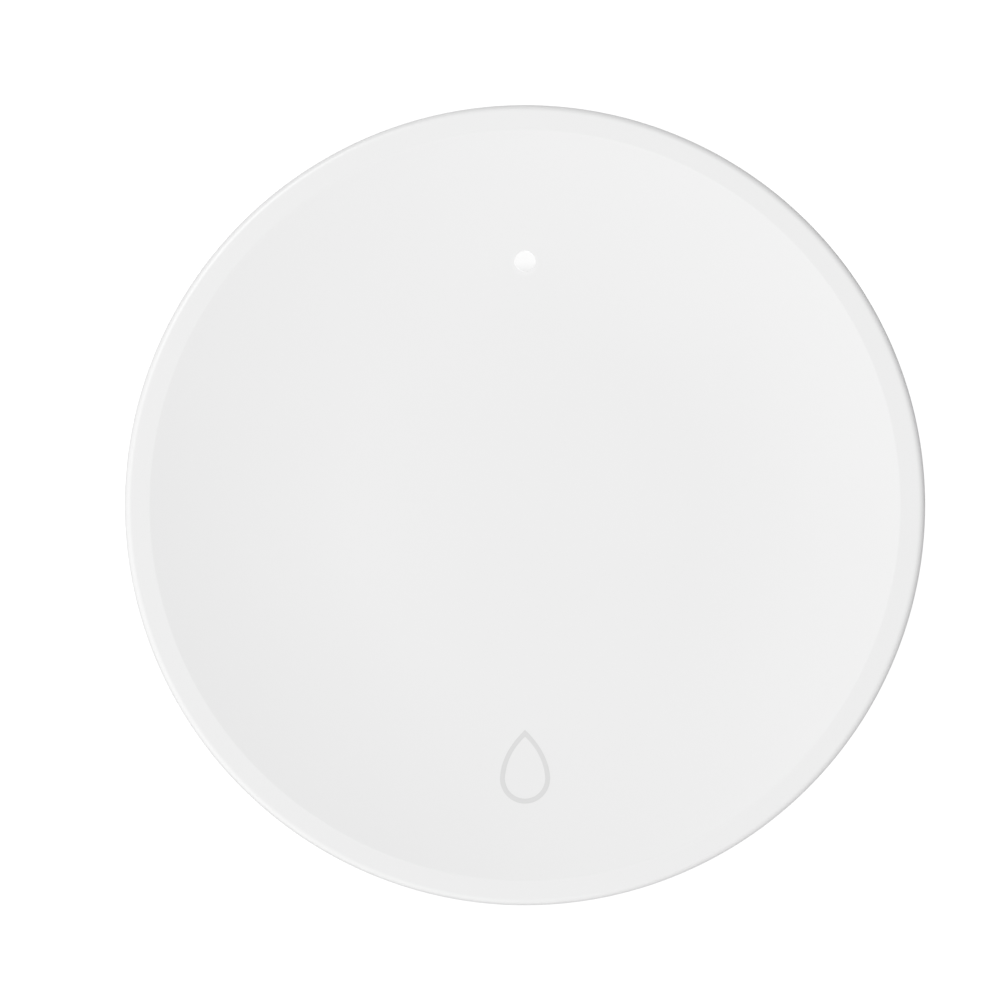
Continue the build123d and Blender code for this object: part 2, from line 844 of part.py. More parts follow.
# Sprung tongue on the side of the cell's can
plus_touch_y = cell_radius + running_fit + contact_thickness / 2
plus_bend_y = cell_radius + plus_stand
plus_toe_z = door_ring_z + plus_toe_lift
plus_touch_z = plus_toe_z + plus_toe_length

with BuildPart() as positive_contact:
    with BuildSketch(Plane.YZ):
        with BuildLine():
            Polyline(
                (plus_bend_y + plus_pad_length, leaf_z),
                (plus_bend_y, leaf_z),
                (plus_touch_y, plus_touch_z),
                (plus_touch_y + plus_toe_rise, plus_toe_z),
            )
        trace(line_width=contact_thickness)
    extrude(amount=plus_width / 2, both=True)

positive_contact.part.label = "positive_contact"
export_step(positive_contact.part, "parts/positive_contact.step")

# Circuit board, notched for the cover's bosses
board_radius = cover_bore - board_margin
notch_radius = boss_radius + board_notch_clearance
notch_reach = board_radius + cut_overrun - screw_circle_radius

with BuildPart() as circuit_board:
    with BuildSketch(Plane.XY.offset(board_z)):
        Circle(board_radius)
        with PolarLocations(screw_circle_radius, screw_count, start_angle=screw_first_angle):
            Circle(notch_radius, mode=Mode.SUBTRACT)
            with Locations((notch_reach / 2, 0)):
                Rectangle(notch_reach, 2 * notch_radius, mode=Mode.SUBTRACT)
        with Locations(probe_places):
            Circle(probe_radius + probe_hole_clearance, mode=Mode.SUBTRACT)
    extrude(amount=board_thickness)

circuit_board.part.label = "circuit_board"
export_step(circuit_board.part, "parts/circuit_board.step")

# Board screws, one group of identical screws
with BuildPart() as board_screws:
    with BuildSketch(Plane.XY.offset(board_top_z)):
        with Locations(probe_places):
            Circle(board_screw_head_diameter / 2)
    extrude(amount=board_screw_head_height)
    chamfer(board_screws.edges().group_by(Axis.Z)[-1], length=board_screw_head_chamfer)
    with BuildSketch(Plane.XY.offset(board_top_z)):
        with Locations(probe_places):
            Circle(probe_radius)
    extrude(amount=-board_thickness - board_screw_grip)

board_screws.part.label = "board_screws"
export_step(board_screws.part, "parts/board_screws.step")

# Pairing button: a round push rod that cannot fall out past its shoulder
with BuildPart() as pairing_button:
    with BuildSketch(Plane.XY.offset(button_face_z)):
        with Locations(button_place):
            Circle(button_radius)
    extrude(amount=button_shoulder_z - button_face_z)
    chamfer(pairing_button.edges().group_by(Axis.Z)[0], length=button_chamfer)
    with BuildSketch(Plane.XY.offset(button_shoulder_z)):
        with Locations(button_place):
            Circle(button_radius + button_shoulder_reach)
    extrude(amount=button_shoulder_thickness)
    with BuildSketch(Plane.XY.offset(button_shoulder_z)):
        with Locations(button_place):
            Circle(button_stem_diameter / 2)
    extrude(amount=button_top_z - button_shoulder_z)
    with BuildSketch(Plane.XY.offset(button_groove_z)):
        with Locations(button_place):
            Circle(button_radius + cut_overrun)
            Circle(button_groove_radius, mode=Mode.SUBTRACT)
    extrude(amount=button_groove_width, mode=Mode.SUBTRACT)

pairing_button.part.label = "pairing_button"
export_step(pairing_button.part, "parts/pairing_button.step")

# Seal in the button's groove
button_axis = Axis((0, -button_distance, 0), (0, 0, 1))
with BuildPart() as button_seal:
    with BuildSketch(Plane.XZ.offset(button_distance)) as button_seal_section:
        with Locations(
            (
                (button_groove_radius + button_bore) / 2,
                button_groove_z + button_groove_width / 2,
            )
        ):
            Rectangle(
                button_bore - button_groove_radius - 2 * face_fit,
                button_groove_width - 2 * face_fit,
            )
        chamfer(button_seal_section.vertices(), length=seal_corner)
    revolve(axis=button_axis)

button_seal.part.label = "button_seal"
export_step(button_seal.part, "parts/button_seal.step")

# Push switch under the board, and its plunger
with BuildPart() as switch_body:
    with BuildSketch(Plane.XY.offset(switch_z)):
        with Locations(button_place):
            RectangleRounded(switch_side, switch_side, switch_round)
    extrude(amount=switch_height)
    with BuildSketch(Plane.XY.offset(switch_z)):
        with Locations(button_place):
            Circle(plunger_diameter / 2 + running_fit)
    extrude(amount=plunger_in + button_travel + plunger_spare, mode=Mode.SUBTRACT)

switch_body.part.label = "switch_body"
export_step(switch_body.part, "parts/switch_body.step")

with BuildPart() as switch_plunger:
    with BuildSketch(Plane.XY.offset(plunger_z)):
        with Locations(button_place):
            Circle(plunger_diameter / 2)
    extrude(amount=plunger_out + plunger_in)

switch_plunger.part.label = "switch_plunger"
export_step(switch_plunger.part, "parts/switch_plunger.step")

# Radio module: its own small board with a metal shield
radio_y = radio_inset + radio_length / 2 - board_radius
shield_y = radio_y + (radio_length - shield_length) / 2 - shield_edge

with BuildPart() as radio_board:
    with BuildSketch(Plane.XY.offset(board_top_z)):
        with Locations((0, radio_y)):
            Rectangle(radio_width, radio_length)
    extrude(amount=radio_thickness)

radio_board.part.label = "radio_board"
export_step(radio_board.part, "parts/radio_board.step")

with BuildPart() as radio_shield:
    with BuildSketch(Plane.XY.offset(radio_top_z)):
        with Locations((0, shield_y)):
            Rectangle(shield_width, shield_length)
    extrude(amount=shield_height)
    fillet(radio_shield.edges().group_by(Axis.Z)[-1], radius=shield_round)

radio_shield.part.label = "radio_shield"
export_step(radio_shield.part, "parts/radio_shield.step")

# Status light under the light pipe
with BuildPart() as status_led:
    with BuildSketch(Plane.XY.offset(board_top_z)):
        with Locations(light_place):
            Rectangle(led_length, led_width)
    extrude(amount=led_height)

status_led.part.label = "status_led"
export_step(status_led.part, "parts/status_led.step")

# Parts on top of the board
with BuildPart() as main_chip:
    with BuildSketch(Plane.XY.offset(board_top_z)):
        with Locations((chip_x, chip_y)):
            Rectangle(chip_side, chip_side)
    extrude(amount=chip_height)

main_chip.part.label = "main_chip"
export_step(main_chip.part, "parts/main_chip.step")

with BuildPart() as clock_crystal:
    with BuildSketch(Plane.XY.offset(board_top_z)):
        with Locations((crystal_x, crystal_y)):
            Rectangle(crystal_length, crystal_width)
    extrude(amount=crystal_height)

clock_crystal.part.label = "clock_crystal"
export_step(clock_crystal.part, "parts/clock_crystal.step")

with BuildPart() as reservoir_capacitor:
    with BuildSketch(Plane.XY.offset(board_top_z)):
        with Locations((reservoir_x, reservoir_y)):
            Rectangle(reservoir_length, reservoir_width)
    extrude(amount=reservoir_height)

reservoir_capacitor.part.label = "reservoir_capacitor"
export_step(reservoir_capacitor.part, "parts/reservoir_capacitor.step")

# Small capacitors, one group of identical parts
with BuildPart() as small_capacitors:
    with BuildSketch(Plane.XY.offset(board_top_z)):
        with Locations((capacitor_x, capacitor_y)):
            with GridLocations(
                capacitor_spacing, capacitor_spacing, capacitor_columns, capacitor_rows
            ):
                Rectangle(capacitor_length, capacitor_width)
    extrude(amount=capacitor_height)

small_capacitors.part.label = "small_capacitors"
export_step(small_capacitors.part, "parts/small_capacitors.step")
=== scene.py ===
"""Surfaces, printed sign, status light and studio for a round water leak sensor."""

import math

import bmesh
import bpy
from bpy.props import FloatProperty, FloatVectorProperty, IntProperty, PointerProperty
from mathutils import Matrix, Vector
from mathutils.bvhtree import BVHTree
from mathutils.geometry import intersect_line_line


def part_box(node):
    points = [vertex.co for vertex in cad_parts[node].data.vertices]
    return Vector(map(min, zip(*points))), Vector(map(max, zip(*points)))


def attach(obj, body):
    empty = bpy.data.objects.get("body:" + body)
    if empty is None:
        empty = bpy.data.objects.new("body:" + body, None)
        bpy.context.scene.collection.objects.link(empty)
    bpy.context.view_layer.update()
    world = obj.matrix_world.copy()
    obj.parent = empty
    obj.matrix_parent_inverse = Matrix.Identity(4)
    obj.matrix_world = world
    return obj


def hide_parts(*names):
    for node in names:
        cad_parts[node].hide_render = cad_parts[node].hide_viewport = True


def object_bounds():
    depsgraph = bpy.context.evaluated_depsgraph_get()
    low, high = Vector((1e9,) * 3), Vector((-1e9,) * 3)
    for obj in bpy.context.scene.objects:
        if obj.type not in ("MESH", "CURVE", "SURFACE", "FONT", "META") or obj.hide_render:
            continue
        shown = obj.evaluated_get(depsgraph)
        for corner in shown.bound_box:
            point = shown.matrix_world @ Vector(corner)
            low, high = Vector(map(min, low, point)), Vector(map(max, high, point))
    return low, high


bl_info = {
    "name": "Water leak sensor",
    "version": (1, 0, 0),
    "blender": (4, 5, 0),
    "location": "3D View > Sidebar > Leak sensor",
    "description": "Surfaces, printed sign, status light and studio for a round floor sensor",
    "category": "Object",
}

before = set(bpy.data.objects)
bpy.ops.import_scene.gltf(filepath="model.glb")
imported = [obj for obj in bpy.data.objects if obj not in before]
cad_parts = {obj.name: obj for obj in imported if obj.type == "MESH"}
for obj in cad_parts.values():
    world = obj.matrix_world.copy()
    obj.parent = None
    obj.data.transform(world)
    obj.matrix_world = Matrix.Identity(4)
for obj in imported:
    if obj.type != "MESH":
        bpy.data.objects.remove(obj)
cad_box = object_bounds()

MM = 0.001
SAME_PLACE = 0.001 * MM  # points nearer to each other than this count as one
FACES_UP = 0.9  # a face whose normal has a larger Z than this looks up
SHARP = math.radians(30)  # edges that bend by more than this stay sharp
UPRIGHT = 1000.0  # flattening that turns a distance from a point into one from an upright line
WHITE = (1.0, 1.0, 1.0)
BLACK = (0.0, 0.0, 0.0)


def length(name, description, millimetres):
    """A setting that holds a length."""
    return FloatProperty(
        name=name, description=description, default=millimetres * MM, unit="LENGTH", precision=5
    )


def paint(name, description, colour):
    """A setting that holds a colour, in linear light."""
    return FloatVectorProperty(
        name=name, description=description, default=colour, size=3, subtype="COLOR", min=0, max=1
    )


def angle(name, description, degrees):
    """A setting that holds an angle."""
    return FloatProperty(
        name=name, description=description, default=math.radians(degrees), subtype="ANGLE"
    )


def level(name, description, value, top=1.0):
    """A setting without a unit."""
    return FloatProperty(name=name, description=description, default=value, min=0, max=top)


def steps(name, description, number):
    """A setting that holds a number of steps."""
    return IntProperty(name=name, description=description, default=number, min=1)


class CoverSettings(bpy.types.PropertyGroup):
    """The smooth outside of the cover"""

    crease_radius: length("Crease", "Radius of the crease round the dish", 32.65)
    flat_radius: length("Flat", "Radius of the flat middle of the dish", 15.55)
    dish_depth: length("Dish depth", "Depth of the dish under the rim", 1.19)
    draft: length("Draft", "How much narrower the wall is at the rim than at the skirt", 0.15)
    edge_round: length("Edge round", "Radius of the rim's outer edge", 0.6)
    skirt_edge: length("Skirt edge", "Width of the skirt's flat lower edge", 2.0)
    patch: length("Patch", "Width of the surface that is fitted round the light's hole", 0.5)
    margin: length("Margin", "How far under the dish its construction faces are taken off", 0.1)
    support: length("Support", "Distance of the loops that keep the flats flat", 0.04)
    segments: steps("Segments", "Steps round the cover", 384)
    dish_steps: steps("Dish steps", "Steps from the flat middle to the crease", 24)
    edge_steps: steps("Edge steps", "Steps over the rim's outer edge", 12)


class SignSettings(bpy.types.PropertyGroup):
    """The printed outline of a drop"""

    round_radius: length("Round radius", "Outer radius of the drop's round end", 2.185)
    round_y: length("Round centre", "Y of the middle of the round end", -23.82)
    point_rise: length("Point", "Height of the drop's point over that middle", 4.215)
    side_x: length("Side reach", "How far the bowed sides bulge from the middle line", 1.995)
    side_rise: length("Side rise", "Height at which the sides bulge most", 2.32)
    shoulder: angle("Shoulder", "Angle above level at which the sides leave the round end", 5)
    stroke: length("Stroke", "Width of the printed line", 0.43)
    film: length("Film", "Thickness of the printed ink", 0.015)
    segments: steps("Segments", "Steps round the drop", 144)
    ink: paint("Ink", "Colour of the printed line", (0.735, 0.735, 0.735))


class LightSettings(bpy.types.PropertyGroup):
    """The status light in the cover: painted glow on the pipe and round it, and painted light on
    the shaded walls beside it
    """

    lens: paint("Lens", "Colour of the light pipe", (0.875, 0.875, 0.875))
    lamp: paint("Lamp", "Colour of the lamp under the pipe", (0.85, 0.8, 0.62))
    # Painted glow on the pipe's tip, fading towards the sign.
    brightness: level("Brightness", "Light that the pipe adds to what falls on it", 0.115)
    fade_start: length("Fade start", "Y from the pipe's middle where its light fades", 0.05)
    fade_end: length("Fade end", "Y from the pipe's middle where that light is gone", -1.15)
    # Painted light on the pipe's own side, which lifts its shade.
    painted_side_light: level("Side glow", "Light on the pipe's own side", 0.24)
    side_start: length("Side start", "Depth under the pipe's top where that light starts", 0.02)
    side_full: length("Side full", "Depth under the pipe's top where it is full", 0.1)
    # Painted light on the wall of the pipe's hole, which lifts the shade of the gap.
    painted_wall_light: level("Leak", "Light on the hole's wall round the pipe", 0.1)
    wall_light_start: length("Leak start", "Depth under the pipe's top where that light starts", 0.06)
    wall_light_full: length("Leak full", "Depth under the pipe's top where it is full", 0.12)
    wall_light_inner: level("Leak inner", "Up to where the wall is lit, in pipe radii", 1.09, top=2)
    wall_light_outer: level("Leak outer", "Where the wall's light ends, in pipe radii", 1.15, top=2)
    # Painted glow in the cover round the pipe.
    glow: level("Glow", "Light that seeps into the cover past the pipe", 0.014)
    glow_reach: length("Glow reach", "How far from the pipe's middle the glow ends", 1.3)
    glow_drop: length("Glow drop", "How far the glow is shifted towards the sign", 0.2)


class SealSettings(bpy.types.PropertyGroup):
    """The round sealing rings"""

    ring_steps: steps("Ring steps", "Steps round each ring", 128)
    section_steps: steps("Section steps", "Steps round the section of a ring", 20)


class FinishSettings(bpy.types.PropertyGroup):
    """Colours and gloss of the case and its parts"""

    white: paint("White", "Moulded case plastic", (0.87, 0.87, 0.87))
    door_white: paint("Door white", "Moulded door plastic", (0.85, 0.85, 0.85))
    button_grey: paint("Button", "Moulded button plastic", (0.4, 0.42, 0.44))
    satin: level("Satin", "Roughness of the case plastic", 0.36)
    silicone: paint("Silicone", "Feet", (0.5, 0.51, 0.52))
    rubber: paint("Rubber", "Seals", (0.012, 0.012, 0.013))
    steel: paint("Steel", "Plated screws", (0.52, 0.52, 0.53))
    stainless: paint("Stainless", "Probes", (0.66, 0.66, 0.67))
    brass: paint("Brass", "Pillars", (0.62, 0.42, 0.17))
    nickel: paint("Nickel", "Cell and contacts", (0.6, 0.58, 0.54))
    gasket: paint("Gasket", "Ring between the cell's can and cap", (0.02, 0.02, 0.022))
    solder_mask: paint("Solder mask", "Circuit board", (0.006, 0.085, 0.032))
    track: paint("Track", "Copper under the solder mask", (0.02, 0.17, 0.07))
    plated: paint("Plated", "Plated holes of the boards", (0.55, 0.42, 0.18))
    radio_mask: paint("Radio mask", "Radio board", (0.004, 0.04, 0.03))
    radio_track: paint("Radio track", "Copper under the radio board's mask", (0.01, 0.09, 0.05))
    tin: paint("Tin", "Can over the radio", (0.62, 0.62, 0.6))
    chip: paint("Chip", "Moulded body of the main chip", (0.014, 0.014, 0.016))
    crystal: paint("Crystal", "Lid of the clock crystal", (0.66, 0.62, 0.55))
    reservoir: paint("Reservoir", "Reservoir capacitor", (0.55, 0.24, 0.03))
    ceramic: paint("Ceramic", "Small capacitors", (0.27, 0.19, 0.11))
    switch_black: paint("Switch", "Body of the push switch", (0.015, 0.015, 0.017))
    plunger_brown: paint("Plunger", "Plunger of the push switch", (0.11, 0.045, 0.02))


class StageSettings(bpy.types.PropertyGroup):
    """Camera, floor and light"""

    view_width: length("View width", "Width of the picture in the plane of the rim", 86.95)
    lens_mm: level("Focal length", "Focal length of the lens, in millimetres", 135, top=500)
    nearest: length("Nearest", "Nearest distance that the camera sees", 10)
    view_x: length("View X", "X of the middle of the picture", -2.18)
    view_y: length("View Y", "Y of the middle of the picture", 0.455)
    floor_width: length("Floor", "Width of the floor", 6000)
    floor_steps: steps("Floor steps", "Steps along each side of the floor", 8)
    floor_colour: paint("Floor colour", "Floor as the camera sees it", (0.15, 0.15, 0.15))
    floor_glow: level("Floor glow", "Light of the floor as the camera sees it", 0.95)
    floor_grey: level("Floor grey", "How much of the sky's light the floor throws back", 0.46)
    # Painted shadow: the floor shines less under the sensor, and fully again past the outer radius.
    shade_glow: level("Floor under", "Light of the floor under the sensor", 0.3)
    shade_inner: level("Shade inner", "Where the floor's shade starts to end, in sensor radii", 0.9)
    shade_outer: level("Shade outer", "Where it has ended, in sensor radii", 1.02, top=5)
    sky: level("Sky", "Mean light of the studio", 0.646, top=5)
    sky_slope: level("Sky slope", "How much brighter the near side is than the mean", 0.6, top=5)
    sky_angle: angle("Sky angle", "Direction of the brightest side, from the X axis", 256)
    lamp_power: level("Lamp", "Power of the soft lamp, in watts", 80, top=1000)
    lamp_radius: length("Lamp radius", "Radius of the soft lamp", 1240)
    lamp_distance: length("Lamp distance", "Distance from the sensor to the soft lamp", 4000)
    lamp_angle: angle("Lamp angle", "Direction of the soft lamp, from the X axis", 134)
    lamp_height: angle("Lamp height", "Angle of the soft lamp over the floor", 48)


class SensorSettings(bpy.types.PropertyGroup):
    """All settings of the sensor"""

    cover: PointerProperty(type=CoverSettings)
    sign: PointerProperty(type=SignSettings)
    light: PointerProperty(type=LightSettings)
    seals: PointerProperty(type=SealSettings)
    finish: PointerProperty(type=FinishSettings)
    stage: PointerProperty(type=StageSettings)


class Wire:
    """A socket in arithmetic: each operator adds the Math node that works it out."""

    def __init__(self, nodes, socket):
        self.nodes = nodes
        self.socket = socket

    def worked(self, operation, first, second):
        return self.nodes.add("ShaderNodeMath", {"operation": operation}, {0: first, 1: second})

    def __add__(self, other):
        return self.worked("ADD", self, other)

    def __radd__(self, other):
        return self.worked("ADD", other, self)

    def __sub__(self, other):
        return self.worked("SUBTRACT", self, other)

    def __rsub__(self, other):
        return self.worked("SUBTRACT", other, self)

    def __mul__(self, other):
        return self.worked("MULTIPLY", self, other)

    def __rmul__(self, other):
        return self.worked("MULTIPLY", other, self)

    def ramp(self, start, end):
        """0 up to start, 1 from end on, and a smooth step between them."""
        return self.nodes.add(
            "ShaderNodeMapRange",
            {"interpolation_type": "SMOOTHSTEP"},
            {"Value": self, "From Min": start, "From Max": end},
        )


class Nodes:
    """The nodes of one material or sky."""

    def __init__(self, owner):
        owner.use_nodes = True
        self.tree = owner.node_tree
        self.tree.nodes.clear()

    def add(self, kind, settings=None, values=None, output=0):
        """Adds a node: its settings first, then its sockets' values or wires."""
        node = self.tree.nodes.new(kind)
        for key, value in (settings or {}).items():
            setattr(node, key, value)
        for key, value in (values or {}).items():
            if isinstance(value, Wire):
                self.tree.links.new(value.socket, node.inputs[key])
            else:
                node.inputs[key].default_value = value
        return Wire(self, node.outputs[output]) if node.outputs else None

    def place(self, size=(1, 1, 1), centre=(0, 0, 0)):
        """The point on the piece, measured from centre in steps of size."""
        here = self.add("ShaderNodeTexCoord", output="Object")
        return self.add(
            "ShaderNodeMapping",
            {"vector_type": "TEXTURE"},
            {"Vector": here, "Location": centre, "Scale": size},
        )

    def noise(self, size, detail=2.0):
        """Soft irregular grain between 0 and 1, with grains of this size."""
        if not isinstance(size, tuple):
            size = (size, size, size)
        return self.add(
            "ShaderNodeTexNoise",
            None,
            {"Vector": self.place(size), "Scale": 1.0, "Detail": detail},
        )

    def distance(self, centre, flatten=1.0):
        """Distance from a point, or from an upright line where flatten is large."""
        place = self.place((1, 1, flatten), centre)
        return self.add("ShaderNodeVectorMath", {"operation": "LENGTH"}, {0: place}, output=1)

    def offset(self, axis, centre=(0, 0, 0)):
        """How far the point lies past centre along one axis."""
        place = self.place(centre=centre)
        return self.add("ShaderNodeSeparateXYZ", None, {"Vector": place}, output=axis)

    def mix(self, share, first, second):
        """The first colour where share is 0, the second where it is 1."""
        # This node has a set of sockets for each kind of data: 6 and 7 in, and 2 out, are colours.
        return self.add(
            "ShaderNodeMix", {"data_type": "RGBA"}, {0: share, 6: first, 7: second}, output=2
        )

    def bump(self, height, depth):
        """The surface's normal, tilted by a height between 0 and 1 that stands for this depth."""
        return self.add("ShaderNodeBump", None, {"Height": height, "Distance": depth})

    def finish(self, values):
        """Ends the material in one surface shader."""
        shader = self.add("ShaderNodeBsdfPrincipled", None, values)
        self.add("ShaderNodeOutputMaterial", None, {"Surface": shader})


def tint(colour, factor=1.0):
    """A colour for a socket, made lighter or darker by a factor."""
    return (colour[0] * factor, colour[1] * factor, colour[2] * factor, 1.0)


def vary(value, pattern, swing):
    """A value that a pattern between 0 and 1 moves over a range this wide."""
    return value + (pattern - 0.5) * swing


def moulded_plastic(
    name, colour, roughness, grain=0.11, depth=0.0007, cloud=14.0, mottle=0.006, glow=None
):
    """Satin plastic with the fine spark grain of its mould, in faintly uneven white or colour.

    Grain, depth and cloud are in millimetres. Glow makes the pattern of painted light on it."""
    material = bpy.data.materials.new(name)
    nodes = Nodes(material)
    fine = nodes.noise(grain * MM, detail=3.0)
    broad = nodes.noise(cloud * MM, detail=1.0)
    values = {
        "Base Color": nodes.mix(broad, tint(colour, 1 - mottle), tint(colour, 1 + mottle)),
        "Roughness": vary(roughness, fine, swing=0.12),
        "Normal": nodes.bump(fine, depth * MM),
    }
    # Painted light: emission in the pattern that glow makes.
    if glow:
        values["Emission Color"] = nodes.mix(glow(nodes), tint(BLACK), tint(WHITE))
        values["Emission Strength"] = 1.0
    nodes.finish(values)
    return material


def soft_rubber(name, colour, roughness, bloom=0.25, patch=1.1, grain=0.09, depth=0.004):
    """Silicone or rubber: dull, with a faint pale bloom in patches.

    Patch, grain and depth are in millimetres."""
    material = bpy.data.materials.new(name)
    nodes = Nodes(material)
    patches = nodes.noise(patch * MM, detail=3.0)
    skin = nodes.noise(grain * MM, detail=2.0)
    nodes.finish(
        {
            "Base Color": nodes.mix(patches * bloom, tint(colour), tint(colour, factor=1.6)),
            "Roughness": vary(roughness, patches, swing=0.2),
            "Normal": nodes.bump(skin, depth * MM),
            "Sheen Weight": 0.1,
        }
    )
    return material


def drawn_metal(name, colour, roughness, grain=(2.4, 0.05, 2.4), scratch=0.0012, spot=2.2):
    """Rolled or drawn sheet with fine lines along one way. Sizes are in millimetres."""
    material = bpy.data.materials.new(name)
    nodes = Nodes(material)
    lines = nodes.noise(tuple(side * MM for side in grain), detail=2.0)
    spots = nodes.noise(spot * MM, detail=2.0)
    nodes.finish(
        {
            "Base Color": nodes.mix(spots, tint(colour, factor=0.92), tint(colour, factor=1.04)),
            "Metallic": 1.0,
            "Roughness": vary(vary(roughness, lines, swing=0.16), spots, swing=0.1),
            "Normal": nodes.bump(lines, scratch * MM),
        }
    )
    return material


def turned_metal(name, colour, roughness, centre, pitch=0.12, groove=0.0006, stain=1.5):
    """Metal off a lathe: fine rings round its axis and a few soft stains.

    Pitch, groove and stain are in millimetres."""
    material = bpy.data.materials.new(name)
    nodes = Nodes(material)
    radius = nodes.distance((centre.x, centre.y, 0), flatten=UPRIGHT)
    turns = radius * (math.tau / (pitch * MM))
    wave = nodes.add("ShaderNodeMath", {"operation": "SINE"}, {0: turns})
    rings = wave * 0.5 + 0.5  # from between -1 and 1 to between 0 and 1
    stains = nodes.noise(stain * MM, detail=3.0)
    nodes.finish(
        {
            "Base Color": nodes.mix(stains, tint(colour, factor=0.9), tint(colour, factor=1.05)),
            "Metallic": 1.0,
            "Roughness": vary(vary(roughness, rings, swing=0.06), stains, swing=0.12),
            "Normal": nodes.bump(rings, groove * MM),
        }
    )
    return material


def printed_board(name, mask, track, plated, pitch, roughness=0.34, relief=0.02):
    """Solder mask over a net of tracks, with plated holes scattered over it.

    Pitch and relief are in millimetres."""
    material = bpy.data.materials.new(name)
    nodes = Nodes(material)
    track_half, track_edge = 0.105, 0.03  # in steps of the net of tracks
    hole_radius, hole_edge = 0.07, 0.01  # in steps of the pattern of holes
    hole_step = 2.3 * pitch * MM
    cloth_step = 0.5 * MM
    track_share = 0.8  # of the relief; the rest is the laminate's weave
    edges = nodes.add(
        "ShaderNodeTexVoronoi",
        {"feature": "DISTANCE_TO_EDGE"},
        {"Vector": nodes.place((pitch * MM, pitch * MM, 1.0)), "Scale": 1.0, "Randomness": 0.75},
    )
    tracks = 1 - edges.ramp(track_half, track_half + track_edge)
    centres = nodes.add(
        "ShaderNodeTexVoronoi",
        {"feature": "F1"},
        {"Vector": nodes.place((hole_step, hole_step, 1.0)), "Scale": 1.0},
    )
    holes = 1 - centres.ramp(hole_radius, hole_radius + hole_edge)
    weave = nodes.noise(cloth_step, detail=2.0)
    height = tracks * track_share + weave * (1 - track_share)
    masked = nodes.mix(tracks, tint(mask), tint(track))
    nodes.finish(
        {
            "Base Color": nodes.mix(holes, masked, tint(plated)),
            "Metallic": holes,
            "Roughness": vary(roughness, weave, swing=0.12),
            "Normal": nodes.bump(height, relief * MM),
        }
    )
    return material


def dress(material, *names):
    """Gives these construction pieces a material."""
    for name in names:
        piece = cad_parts[name]
        piece.data.materials.clear()
        piece.data.materials.append(material)


def numbered(start):
    """The names of the construction pieces that differ only in the number after this start."""
    return [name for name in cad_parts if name.startswith(start)]


def new_piece(name, bm, material, body, smooth=True):
    """Turns a finished bmesh into a piece that rides on a body."""
    mesh = bpy.data.meshes.new(name)
    bm.to_mesh(mesh)
    bm.free()
    # A mesh that started from a construction piece still has that piece's fixed normals.
    fixed_normals = mesh.attributes.get("custom_normal")
    if fixed_normals:
        mesh.attributes.remove(fixed_normals)
    mesh.materials.append(material)
    for polygon in mesh.polygons:
        polygon.use_smooth = smooth
    piece = bpy.data.objects.new(name, mesh)
    bpy.context.scene.collection.objects.link(piece)
    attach(piece, body)
    return piece


def middle(node):
    """The centre of a construction piece's box."""
    low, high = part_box(node)
    return (low + high) / 2


def away(vert, centre):
    """Distance of a vertex from the upright line through centre."""
    return math.hypot(vert.co.x - centre.x, vert.co.y - centre.y)


def tip_radius(node, centre):
    """How far a construction piece reaches from its axis at its very top."""
    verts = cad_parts[node].data.vertices
    top = max(vert.co.z for vert in verts)
    return max(away(vert, centre) for vert in verts if vert.co.z > top - SAME_PLACE)


def loop(bm, radius, height):
    """The edges that lie on a level circle round the sensor's axis."""
    return [
        edge
        for edge in bm.edges
        if all(
            abs(vert.co.xy.length - radius) < SAME_PLACE and abs(vert.co.z - height) < SAME_PLACE
            for vert in edge.verts
        )
    ]


